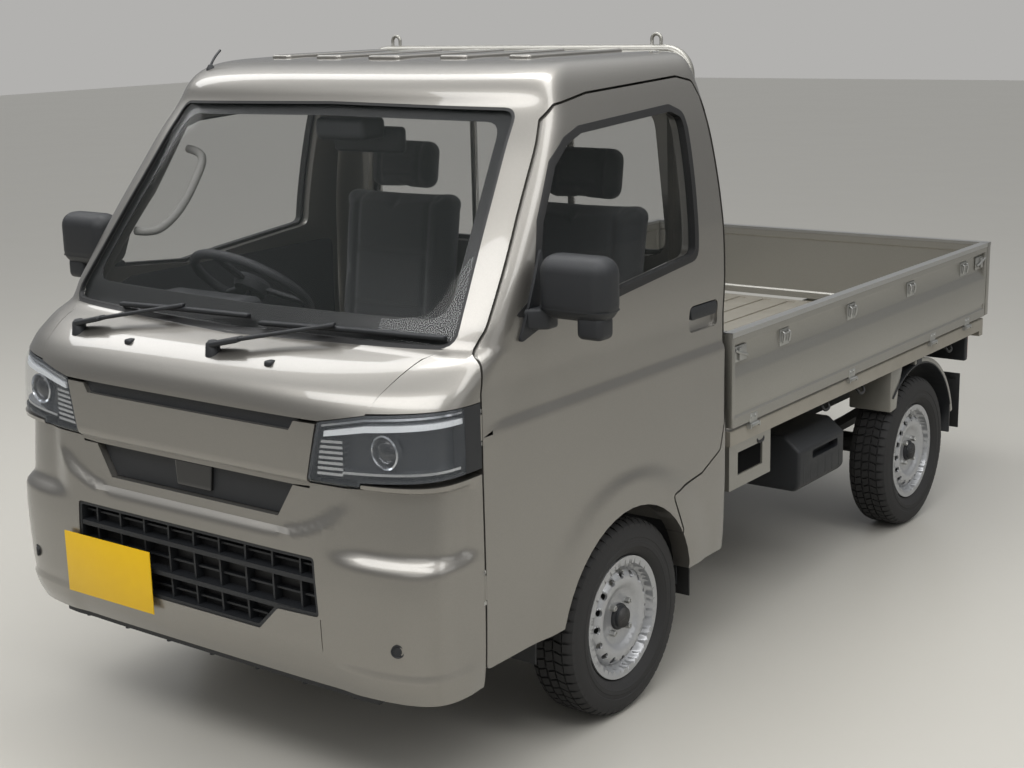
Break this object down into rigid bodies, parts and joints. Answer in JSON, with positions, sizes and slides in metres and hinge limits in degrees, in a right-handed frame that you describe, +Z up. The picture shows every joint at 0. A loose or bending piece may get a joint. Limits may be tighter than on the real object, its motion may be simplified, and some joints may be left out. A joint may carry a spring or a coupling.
{
  "type": "kei truck",
  "caption": "Small cab-over truck with a drop-side bed, opening doors and gates, steered front wheels and a guard frame behind the cab.",
  "frame": {"origin": "on the ground, on the centre plane, midway between the front and the back", "axes": "+X to the truck's left, -Y to its front, +Z up"},
  "size_m": [1.891, 3.395, 1.7649],
  "materials": {
    "body_paint": "metallic warm grey, clear coated",
    "bed_paint": "warm grey, lightly worn",
    "chassis_paint": "satin black",
    "cast_metal": "rough",
    "bare_steel": "dull",
    "rim_paint": "satin silver",
    "tyre_rubber": "matt",
    "black_plastic": "fine grain",
    "black_rubber": "matt",
    "lamp_clear": "clear over bright reflectors",
    "lamp_red": "red and amber lenses",
    "plate_paint": "yellow, blank",
    "window_glass": "clear, slightly green",
    "seat_cloth": "woven, dark grey"
  },
  "bodies": {
    "truck_body": {"cab_shell": "body_paint", "cab_floor": "body_paint", "hood_panel": "body_paint", "grille_panel": "body_paint", "front_bumper": "body_paint", "bed_floor": "bed_paint", "front_board": "bed_paint", "guard_frame": "body_paint", "side_brackets": "bed_paint", "chassis_frame": "chassis_paint", "rear_axle": "chassis_paint", "leaf_springs": "chassis_paint", "front_suspension": "chassis_paint", "engine_block": "cast_metal", "propeller_shaft": "chassis_paint", "fuel_tank": "chassis_paint", "hinge_pins": "chassis_paint", "exhaust": "bare_steel", "lower_grille": "black_plastic", "dashboard": "black_plastic", "steering_column": "black_plastic", "wipers": "black_plastic", "battery_box": "black_plastic", "mudguards": "black_rubber", "headlamps": "lamp_clear", "tail_lamps": "lamp_red", "number_plates": "plate_paint", "windscreen": "window_glass", "rear_window": "window_glass", "seats": "seat_cloth"},
    "door_left_body": {"door_left": "body_paint", "door_glass_left": "window_glass", "mirror_left": "black_plastic"},
    "door_right_body": {"door_right": "body_paint", "door_glass_right": "window_glass", "mirror_right": "black_plastic"},
    "gate_left_body": {"gate_left": "bed_paint"},
    "gate_right_body": {"gate_right": "bed_paint"},
    "tailgate_body": {"tailgate": "bed_paint"},
    "knuckle_left_body": {"knuckle_left": "cast_metal"},
    "knuckle_right_body": {"knuckle_right": "cast_metal"},
    "steering_wheel_body": {"steering_wheel": "black_plastic"},
    "wheel_front_left": {"rim_front_left": "rim_paint", "tyre_front_left": "tyre_rubber"},
    "wheel_front_right": {"rim_front_right": "rim_paint", "tyre_front_right": "tyre_rubber"},
    "wheel_rear_left": {"rim_rear_left": "rim_paint", "tyre_rear_left": "tyre_rubber"},
    "wheel_rear_right": {"rim_rear_right": "rim_paint", "tyre_rear_right": "tyre_rubber"}
  },
  "joints": [
    {"name": "door_left_hinge", "type": "hinge", "parent": "truck_body", "child": "door_left_body", "pos_m": [0.734, -1.4565, 0.71], "axis": [0, 0, -1], "range_deg": [0, 68]},
    {"name": "door_right_hinge", "type": "hinge", "parent": "truck_body", "child": "door_right_body", "pos_m": [-0.734, -1.4565, 0.71], "axis": [0, 0, 1], "range_deg": [0, 68]},
    {"name": "gate_left_hinge", "type": "hinge", "parent": "truck_body", "child": "gate_left_body", "pos_m": [0.734, 0.68, 0.648], "axis": [0, 1, 0], "range_deg": [0, 178]},
    {"name": "gate_right_hinge", "type": "hinge", "parent": "truck_body", "child": "gate_right_body", "pos_m": [-0.734, 0.68, 0.648], "axis": [0, -1, 0], "range_deg": [0, 178]},
    {"name": "tailgate_hinge", "type": "hinge", "parent": "truck_body", "child": "tailgate_body", "pos_m": [0, 1.6915, 0.648], "axis": [-1, 0, 0], "range_deg": [0, 178]},
    {"name": "steer_left", "type": "hinge", "parent": "truck_body", "child": "knuckle_left_body", "pos_m": [0.552, -0.8345, 0.266], "axis": [0, 0, 1], "range_deg": [-35, 35]},
    {"name": "steer_right", "type": "hinge", "parent": "truck_body", "child": "knuckle_right_body", "pos_m": [-0.552, -0.8345, 0.266], "axis": [0, 0, 1], "range_deg": [-35, 35]},
    {"name": "steering_wheel_turn", "type": "hinge", "parent": "truck_body", "child": "steering_wheel_body", "pos_m": [-0.33, -1.1075, 1.105], "axis": [0, 0.6157, 0.788], "range_deg": [-530, 530]},
    {"name": "wheel_front_left_spin", "type": "hinge", "parent": "knuckle_left_body", "child": "wheel_front_left", "pos_m": [0.6525, -0.8345, 0.266], "axis": [1, 0, 0], "continuous": true},
    {"name": "wheel_front_right_spin", "type": "hinge", "parent": "knuckle_right_body", "child": "wheel_front_right", "pos_m": [-0.6525, -0.8345, 0.266], "axis": [1, 0, 0], "continuous": true},
    {"name": "wheel_rear_left_spin", "type": "hinge", "parent": "truck_body", "child": "wheel_rear_left", "pos_m": [0.645, 1.0705, 0.266], "axis": [1, 0, 0], "continuous": true},
    {"name": "wheel_rear_right_spin", "type": "hinge", "parent": "truck_body", "child": "wheel_rear_right", "pos_m": [-0.645, 1.0705, 0.266], "axis": [1, 0, 0], "continuous": true}
  ],
  "couplings": [
    {"joint": "steer_right", "follows": "steer_left", "ratio": 1},
    {"joint": "steering_wheel_turn", "follows": "steer_left", "ratio": 15}
  ]
}
